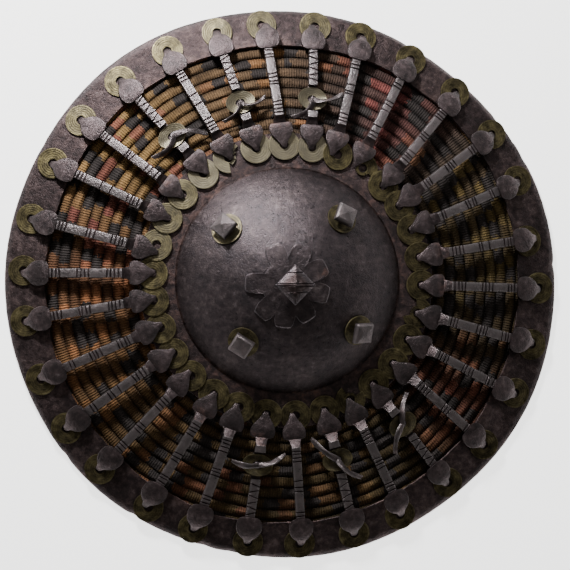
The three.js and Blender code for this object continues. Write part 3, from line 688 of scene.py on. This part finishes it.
def skinned(rings, bm=None):
    """Skins a row of like rings of (point, wear, rust), each extruded from the one before."""
    bm = bm or bmesh.new()
    wear = bm.verts.layers.float.get("wear") or bm.verts.layers.float.new("wear")
    rust = bm.verts.layers.float.get("rust") or bm.verts.layers.float.new("rust")
    verts = [bm.verts.new(point) for point, _, _ in rings[0]]
    edges = [bm.edges.new(pair) for pair in zip(verts, verts[1:] + verts[:1])]
    bm.faces.new(verts)
    for ring in rings:
        if ring is not rings[0]:
            drawn = bmesh.ops.extrude_edge_only(bm, edges=edges)["geom"]
            fresh = {tuple(g.co): g for g in drawn if isinstance(g, bmesh.types.BMVert)}
            verts = [fresh[tuple(vert.co)] for vert in verts]
            edges = [bm.edges.get(pair) for pair in zip(verts, verts[1:] + verts[:1])]
        for vert, (point, rubbed, rusty) in zip(verts, ring):
            vert.co = point
            vert[wear] = rubbed
            vert[rust] = rusty
    bm.faces.new(verts)
    return bm


def bar_mesh(bar):
    chance = random.Random(bar + 7)
    line, side = bar_line(bar)
    pinned = bar in PINNED
    wide = chance.uniform(0.95, 1.04)
    yaw_out, yaw_in = chance.uniform(-0.07, 0.07), chance.uniform(-0.06, 0.06)
    rusty_end = chance.uniform(0, 1) ** 2
    rings = []

    def ring(r, half, low, high, crown=0.3, wear=1.0, slant=0.0, yaw=0.0, rust=0.05):
        points = []
        for across, height, rubbed in forged_section(half * wide, low, high, crown, wear):
            along = r + slant * across / half
            point = line(along) + side * (across + yaw)
            point.z = height + 0.12 * rough(point * 1.0, 5, bar)
            points.append((point, rubbed, rust))
        rings.append(points)

    def raised(r, wear=0.95, deep=0.0, slant=0.0, half=BAR_HALF):
        ring(r, half + 0.12 * rough(Vector((r, bar * 9, 0)), 8), bar_top(r) - BAR_THICK, bar_top(r) - deep,
             crown=0.15 if deep == 0 else 0, wear=wear, slant=slant)

    def cut_across(r, slant=0.0):
        for off, deep, wear in ((CUT_HALF, 0, 0.95), (CUT_HALF * 0.35, CUT_DEEP, 0),
                                (-CUT_HALF * 0.35, CUT_DEEP, 0), (-CUT_HALF, 0, 0.95)):
            raised(r + off, wear, deep, slant)

    for r, half, low, high in OUTER_HEAD:
        base = rim_top(r)
        ring(r, half, base + low, base + high, crown=0.1 + 0.05 * half, wear=0.2,
             yaw=yaw_out * (r - 161), rust=0.12)
    raised(161.6, 0.1)
    raised(161.2, 0.5)
    if pinned:
        spot, lean = LEAF_FROM_R, LEAF_LEAN
        while spot > LEAF_TO_R:
            cut_across(spot + chance.uniform(-0.2, 0.2), lean)
            spot -= LEAF_PITCH
            lean = -lean
        raised(136.4)
        raised(136.0, 0.9)
        low, high = EYE_LIFT - 2.8, EYE_LIFT
        for r, half in ((135.6, 2.9), (132, 3.6), (129, 4.8), (PIN_R, 5.2), (122.5, 4.8), (119.6, 3.6),
                        (117.9, 3.1)):
            ring(r, half, coil_top(r) + low, coil_top(r) + high, wear=0.25)
        raised(117.6, 1, half=3.6)
        raised(115.5, 1, half=3.6)
    else:
        for cut in CUTS:
            if chance.random() > 0.12:
                cut_across(cut + chance.uniform(-0.35, 0.35), chance.uniform(-0.25, 0.25))
    raised(BAR_SHOULDER_R, 1, half=BAR_HALF + 0.1)
    shoulder = bar_top(BAR_SHOULDER_R)
    for r, half, share in ((112.7, 3.3, 0.12), (111.4, 3.6, 0.5), (109.8, 4.0, 0.86)):
        high = shoulder + (head_seat(108) + 3.5 - shoulder) * share
        ring(r, half, high - 3.9, high, wear=0.2, rust=rusty_end * 0.7)
    for r, half, low, high in INNER_HEAD:
        base = head_seat(r)
        ring(r, half, base + low, base + high, crown=0.05 + 0.06 * half, wear=0.2,
             yaw=yaw_in * (108 - r), rust=rusty_end if r > 103 else 0.05)
    bm = skinned(rings)
    bmesh.ops.recalc_face_normals(bm, faces=bm.faces[:])
    return bm


forged_iron = iron_material(
    "rubbed forged iron", [(0.36, "#1e191a"), (0.46, "#342a2b"), (0.55, "#483c3e"), (0.66, "#655a5c")],
    worn="#a19a9b", polish=0.62, dull=0, rusty=0.05)
for bar in range(len(OUTER_DEG)):
    finished(f"forged_bar_{bar + 1:02d}", bar_mesh(bar), forged_iron,
             [f"bar_{bar + 1:02d}"], crease=28)

# ---- Pin washers ----
# Small brass dishes, beaten oval, that the split pins hold down on the eyes of six bars.
PIN_WASHER_DISH = 2.4
PIN_WASHER_HOLE_R = 3.4
PIN_WASHER_OVAL = 0.74

for number, bar in enumerate(PINNED):
    # The washers on the three pins at the top, nearest the key softbox, get a strong painted highlight
    # through pale; the others a faint one.
    bm = washer_mesh(number + 200, pale=0.75 if bar in (0, 26, 28) else 0.15, hole=PIN_WASHER_HOLE_R,
                     dent=0.7, cone=PIN_WASHER_DISH)
    bmesh.ops.scale(bm, vec=(0.98, PIN_WASHER_OVAL, 1), verts=bm.verts[:])
    spot = bar_line(bar)[0](PIN_R)
    spot.z = coil_top(PIN_R) + EYE_LIFT + GAP
    bmesh.ops.transform(bm, matrix=seat_on(spot, INNER_DEG[bar], dish_slope(PIN_R)), verts=bm.verts[:])
    finished(f"dished_pin_washer_{number + 1}", bm, aged_brass, [f"pin_washer_{number + 1}"])

# ---- Split pins ----
# Each is one strip of iron, doubled, driven up from the back through the wicker and the bar's
# eye, its two ends spread over the washer and curled by hand. A disc heads it on the back.
PIN_LEGS = (                             # reach, heading, sideways bow and twist of both ends
    ((18.7, 229, -3.5, 0.5), (21.4, 80, 2.5, 1.2)),
    ((21.1, 194, 2, 0.4), (22.1, 8, -2, 0.6)),
    ((21.2, 127, 2.5, 0.7), (23, 308, -1.5, 0.3)),
    ((18.2, 279, -2, 0.4), (20.1, 70, 2, 0.9)),
    ((20.3, 223, -3.5, 0.6), (23.8, 86, -3, 0.5)),
    ((17.7, 222, -2.5, 1.1), (17.3, 75, 3, 1.4)),
)
PIN_SHANK_R = 1.7
PIN_HEAD_R = 5.5
STRAP_THICK = 3


def round_ring(centre, radius, wear, sides=12):
    turns = [2 * math.pi * i / sides for i in range(sides)]
    return [(centre + Vector((radius * math.cos(t), radius * math.sin(t), 0)), wear, 0.1) for t in turns]


def pin_mesh(bar, legs):
    foot = bar_line(bar)[0](PIN_R)
    head_top = coil_top(PIN_R) - COIL_THICK - GAP - STRAP_THICK - 2.4
    seat = coil_top(PIN_R) + EYE_LIFT + GAP + PIN_WASHER_DISH + WASHER_SHEET
    shank = ((head_top - 2.2, 3.4), (head_top - 1.7, 5), (head_top - 0.7, PIN_HEAD_R),
             (head_top, PIN_HEAD_R - 0.4), (head_top + 0.1, PIN_SHANK_R), (seat + 1.2, PIN_SHANK_R))
    bm = skinned([round_ring(Vector((foot.x, foot.y, z)), r, 0.5) for z, r in shank])
    for reach, heading, bow, twist in legs:
        ahead, out = towards(heading, 0), towards(heading + 90, 0)
        rings = []
        for step in range(17):
            share = step / 16
            middle = foot + ahead * (-1.4 + (reach + 1.4) * share) + out * bow * math.sin(math.pi * share)
            middle.z = seat + 0.7 + 1.9 * math.sin(math.pi * min(share * 1.25, 1)) - 0.9 * share ** 3
            half = (2.0 + 0.25 * math.sin(9 * share + bar)) * (1 - 0.35 * share ** 4)
            turn = twist * math.sin(math.pi * share)
            flat = out * math.cos(turn) + Vector((0, 0, math.sin(turn)))
            up = Vector((0, 0, math.cos(turn))) - out * math.sin(turn)
            loop = ((-1, -0.35, 0.3), (-0.8, -0.6, 0), (0.8, -0.6, 0), (1, -0.35, 0.3), (1, 0.3, 0.6),
                    (0.8, 0.6, 0.5), (0, 0.72, 0.2), (-0.8, 0.6, 0.5), (-1, 0.3, 0.6))
            rings.append([(middle + flat * x * half + up * y, wear, 0.15) for x, y, wear in loop])
        skinned(rings, bm)
    bmesh.ops.recalc_face_normals(bm, faces=bm.faces[:])
    return bm


for number, (bar, legs) in enumerate(zip(PINNED, PIN_LEGS)):
    finished(f"spread_pin_{number + 1}", pin_mesh(bar, legs), forged_iron,
             [f"split_pin_{number + 1}"])

# ---- Studs ----
# Four square-headed iron studs on stems rivet the boss down, each over a plain brass washer.
# They stand square to the dome, so they lean outwards.
STUDS = (                                # radius, angle, turn of the square, height of its point
    (53.5, 39.6, 24, 1.6), (56.5, 126.5, 2, 0.7), (52.5, 218, 31, 0.5), (55, 308.4, 40, 3.4))
STUD_HALF = 7
STUD_STEM = 4.4
STUD_HEAD = 5.4


def square_ring(half, z, wear, turn):
    corners = [towards(turn + 45 + 90 * i, 0) * half * math.sqrt(2) for i in range(4)]
    return [(corner + Vector((0, 0, z)), wear, 0.08) for corner in corners]


def bevelled(bm, width):
    """Rounds every edge of a piece by a width."""
    bmesh.ops.recalc_face_normals(bm, faces=bm.faces[:])
    bmesh.ops.bevel(bm, geom=bm.edges[:], offset=width, segments=2, profile=0.5, affect="EDGES",
                    material=-1, clamp_overlap=True)
    return bm


for number, (at, deg, turn, point) in enumerate(STUDS):
    turned = turn - deg
    flat = 5.6 if point < 2 else 4.6
    rings = [(2.1, 0, 0), (2.1, STUD_STEM, 0), (STUD_HALF - 0.8, STUD_STEM + 0.2, 0.2),
             (STUD_HALF, STUD_STEM + 1.3, 0.3), (STUD_HALF - 0.4, STUD_STEM + STUD_HEAD - 1.3, 0.6),
             (flat, STUD_STEM + STUD_HEAD - 0.2, 0.45),
             (0.9, STUD_STEM + STUD_HEAD - 0.2 + point * 0.6, 0.3)]
    bm = bevelled(skinned([square_ring(half, z, wear, turned) for half, z, wear in rings]), 0.35)
    slope = math.asin(at / BOSS_SPHERE_R)
    spot = place(at, deg, boss_top(at) + GAP)
    bmesh.ops.transform(bm, matrix=seat_on(spot, deg, slope), verts=bm.verts[:])
    finished(f"square_stud_{number + 1}", bm, forged_iron, [f"stud_{number + 1}"])
    # The washer of the top left stud, towards the key softbox, gets a painted highlight through pale.
    bm = washer_mesh(number + 300, pale=0.3 if deg > 300 else 0.05, hole=4, dent=0.1)
    bmesh.ops.scale(bm, vec=(1, 1, 0.8), verts=bm.verts[:])
    bmesh.ops.transform(bm, matrix=seat_on(spot, deg, slope), verts=bm.verts[:])
    finished(f"plain_stud_washer_{number + 1}", bm, aged_brass, [f"stud_washer_{number + 1}"])

# ---- Rosette ----
# Eight petals cut from one iron sheet and beaten down over the crown of the boss. No two are
# quite alike, and their edges stand a little proud.
ROSETTE_AT = Vector((-3.4, -0.5, 0))
ROSETTE_R = 30
ROSETTE_SHEET = 1.6
ROSETTE_LIFT = 1
ROSETTE_STEPS = 180
RUST_AT = Vector((23.5, 6.5, 0))          # a rusty patch on one petal
PETALS = (                               # where each petal points, and how far it reaches
    (22, 29.5), (63, 29), (104, 28.5), (148, 28), (186, 29), (222, 28.5), (273, 29), (339, 29.5))
PETAL_EDGE = ((0, 30), (10, 30), (14, 27.5), (18.5, 22.5), (22.5, 17.5))   # off its middle, reach


def petal_reach(deg):
    """The rosette's outline: the petal nearest to this angle decides it."""
    middle, reach = min(PETALS, key=lambda petal: abs((deg - petal[0] + 180) % 360 - 180))
    off = abs((deg - middle + 180) % 360 - 180)
    for (off_a, r_a), (off_b, r_b) in zip(PETAL_EDGE, PETAL_EDGE[1:]):
        if off <= off_b:
            return (r_a + (r_b - r_a) * (off - off_a) / (off_b - off_a)) * reach / 30
    return PETAL_EDGE[-1][1]


def rosette_mesh():
    top = [(r, ROSETTE_SHEET) for r in (3, 9, 15, 20, 24, 27, 29)]
    edge = [(29.6, ROSETTE_SHEET - 0.25), (30, ROSETTE_SHEET - 0.8), (29.9, 0)]
    bm = spun(top + edge + [(22, 0), (12, 0), (3, 0)], ROSETTE_STEPS)
    wear = bm.verts.layers.float.new("wear")
    rust = bm.verts.layers.float.new("rust")
    for vert in bm.verts:
        r, deg = polar(vert.co)
        reach = r * petal_reach(deg) / ROSETTE_R
        turn = math.radians(deg)
        spot = ROSETTE_AT + Vector((reach * math.sin(turn), reach * math.cos(turn), 0))
        curl = 0.5 * (r / ROSETTE_R) ** 3 * (1 + rough(Vector((spot.x, spot.y, 0)), 16, 3))
        vert[wear] = 0.35 if r > 29.3 else 0.2
        vert[rust] = 2.5 * math.exp(-((spot - RUST_AT).length / 4) ** 2)
        lift = vert.co.z + ROSETTE_LIFT - 0.7 + curl
        vert.co = spot + Vector((0, 0, boss_top((spot - MIDDLE_SHIFT).xy.length) + lift))
    bmesh.ops.recalc_face_normals(bm, faces=bm.faces[:])
    return bm


finished("petal_rosette", rosette_mesh(), hammered_iron, ["rosette"])

# ---- Finial ----
# A solid square knob, cut to a low pyramid over a waisted foot, with lines engraved across it.
FINIAL_AT = Vector((-0.2, -0.5, 0))
FINIAL_RINGS = (                         # half diagonal, height above the foot, wear
    (8, 0, 0), (7, 1.6, 0), (6.4, 5.4, 0), (12.2, 7.6, 0.2), (13.8, 8.6, 0.4), (13.4, 11.4, 0.35),
    (6.9, 13.9, 0), (0.7, 16.2, 0.1))
ENGRAVED = (8.3, 0.9, -0.9, -4.9)        # distance of each line from the knob's middle

foot_z = boss_top((FINIAL_AT - MIDDLE_SHIFT).xy.length) + ROSETTE_LIFT + ROSETTE_SHEET
bm = skinned([square_ring(half / math.sqrt(2), z, wear, -45) for half, z, wear in FINIAL_RINGS])
bevelled(bm, 0.3)
for line_y in ENGRAVED:
    for off in (0.45, 0, -0.45):
        bmesh.ops.bisect_plane(bm, geom=bm.verts[:] + bm.edges[:] + bm.faces[:], dist=1e-5,
                               plane_co=(0, line_y + off, 0), plane_no=(0, 1, 0))
    for vert in bm.verts:
        if abs(vert.co.y - line_y) < 1e-3 and vert.co.z > 11.5:
            vert.co.z -= 0.55
bmesh.ops.translate(bm, verts=bm.verts[:], vec=FINIAL_AT + Vector((0, 0, foot_z)))
finished("engraved_finial", bm, hammered_iron, ["finial"])

# ---- Hand straps ----
# Two flat straps of thick leather on the back, stitched along both edges, worn smooth by the
# hand and held at their ends by four of the split pins.
STRAPS = ((26, 15), (0, 11))             # the bars whose pins hold each strap's two ends
STRAP_HALF = 11
STRAP_TAB_HALF = 8
STRAP_LOW = 1.6
STITCH_INSET = 2.6
STITCH_PITCH = 4.4
STITCH_SHARE = 0.72                      # of the pitch that each stitch shows
THREAD_HALF = 0.45


def strap_leather_material():
    """Vegetable-tanned cowhide gone dark with handling: a close grain, a dull shine on the high
    spots and waxed linen stitches along its edges."""
    material, tree, shader = new_material("dark handled cowhide")
    where = node(tree, "TexCoord", output="Object")
    along = node(tree, "SeparateXYZ", node(tree, "UVMap", uv_map="strap"))
    across = node(tree, "Math", along.node.outputs["Y"], operation="ABSOLUTE")
    grain = node(tree, "TexVoronoi", named={"Vector": where, "Scale": 1 / (1.2 * MM)})
    cloud = node(tree, "TexNoise", named={"Vector": where, "Scale": 1 / (12 * MM), "Detail": 5})

    past_seam = node(tree, "Math", across, STRAP_HALF - STITCH_INSET, operation="SUBTRACT")
    from_seam = node(tree, "Math", past_seam, operation="ABSOLUTE")
    on_seam = node(tree, "Math", from_seam, THREAD_HALF, operation="LESS_THAN")
    stitches = node(tree, "Math", along, STITCH_PITCH, operation="DIVIDE")
    in_stitch = node(tree, "Math", stitches, operation="FRACT")
    dash = node(tree, "Math", in_stitch, STITCH_SHARE, operation="LESS_THAN")
    stitch = node(tree, "Math", on_seam, dash, operation="MULTIPLY")
    hide = node(tree, "ValToRGB", cloud, stops=[(0.3, "#24170f"), (0.5, "#3a2519"), (0.7, "#553823")])
    colour = node(tree, "Mix", named={"Factor": stitch, "A": hide, "B": paint("#8b7552")},
                  data_type="RGBA", output="Result")
    tree.links.new(colour, shader.inputs["Base Color"])
    gloss = node(tree, "Math", cloud, 0.4, 0.38, operation="MULTIPLY_ADD")
    tree.links.new(gloss, shader.inputs["Roughness"])
    pebbled = node(tree, "Math", grain, 0.5, operation="MULTIPLY")
    height = node(tree, "Math", stitch, 1.2, pebbled, operation="MULTIPLY_ADD")
    bump = node(tree, "Bump", named={"Height": height, "Distance": 0.5 * MM, "Strength": 0.7})
    tree.links.new(bump, shader.inputs["Normal"])
    return material


def strap_mesh(from_bar, to_bar):
    start, end = bar_line(from_bar)[0](PIN_R), bar_line(to_bar)[0](PIN_R)
    length = (end - start).length
    ahead = (end - start).normalized()
    side = Vector((-ahead.y, ahead.x, 0))
    tab_top = coil_top(PIN_R) - COIL_THICK - GAP - 0.9
    low_top = STRAP_LOW + STRAP_THICK
    rings = []
    for step in range(65):
        along = -8 + (length + 16) * step / 64
        end_off = min(along, length - along)
        drop = min(max((end_off - 10) / (length * 0.5 - 10), 0), 1)
        sag = math.sin(drop * math.pi / 2) ** 1.4
        top = tab_top + (low_top - tab_top) * sag - (1.4 * max(-end_off, 0) / 8)
        widen = min(max(end_off / 45, 0), 1)
        half = STRAP_TAB_HALF + (STRAP_HALF - STRAP_TAB_HALF) * widen
        half -= 3.5 * (max(-end_off, 0) / 8) ** 2
        section = ((-1, 0.5), (-0.93, 0.1), (-0.5, 0), (0, 0), (0.5, 0), (0.93, 0.1), (1, 0.5), (0.93, 0.9),
                   (0.5, 1), (0, 1), (-0.5, 1), (-0.93, 0.9))
        middle = start + ahead * along
        rings.append([(middle + side * half * x + Vector((0, 0, top - STRAP_THICK * (1 - z))), 0, 0)
                      for x, z in section])
    bm = skinned(rings)
    bmesh.ops.recalc_face_normals(bm, faces=bm.faces[:])
    uv_layer = bm.loops.layers.uv.new("strap")
    for face in bm.faces:
        for loop in face.loops:
            off = loop.vert.co - start
            off.z = 0
            loop[uv_layer].uv = (off.dot(ahead), off.dot(side))
    return bm


cowhide = strap_leather_material()
for number, ends in enumerate(STRAPS):
    finished(f"stitched_hand_strap_{number + 1}", strap_mesh(*ends), cowhide,
             [f"hand_strap_{number + 1}"], crease=50)
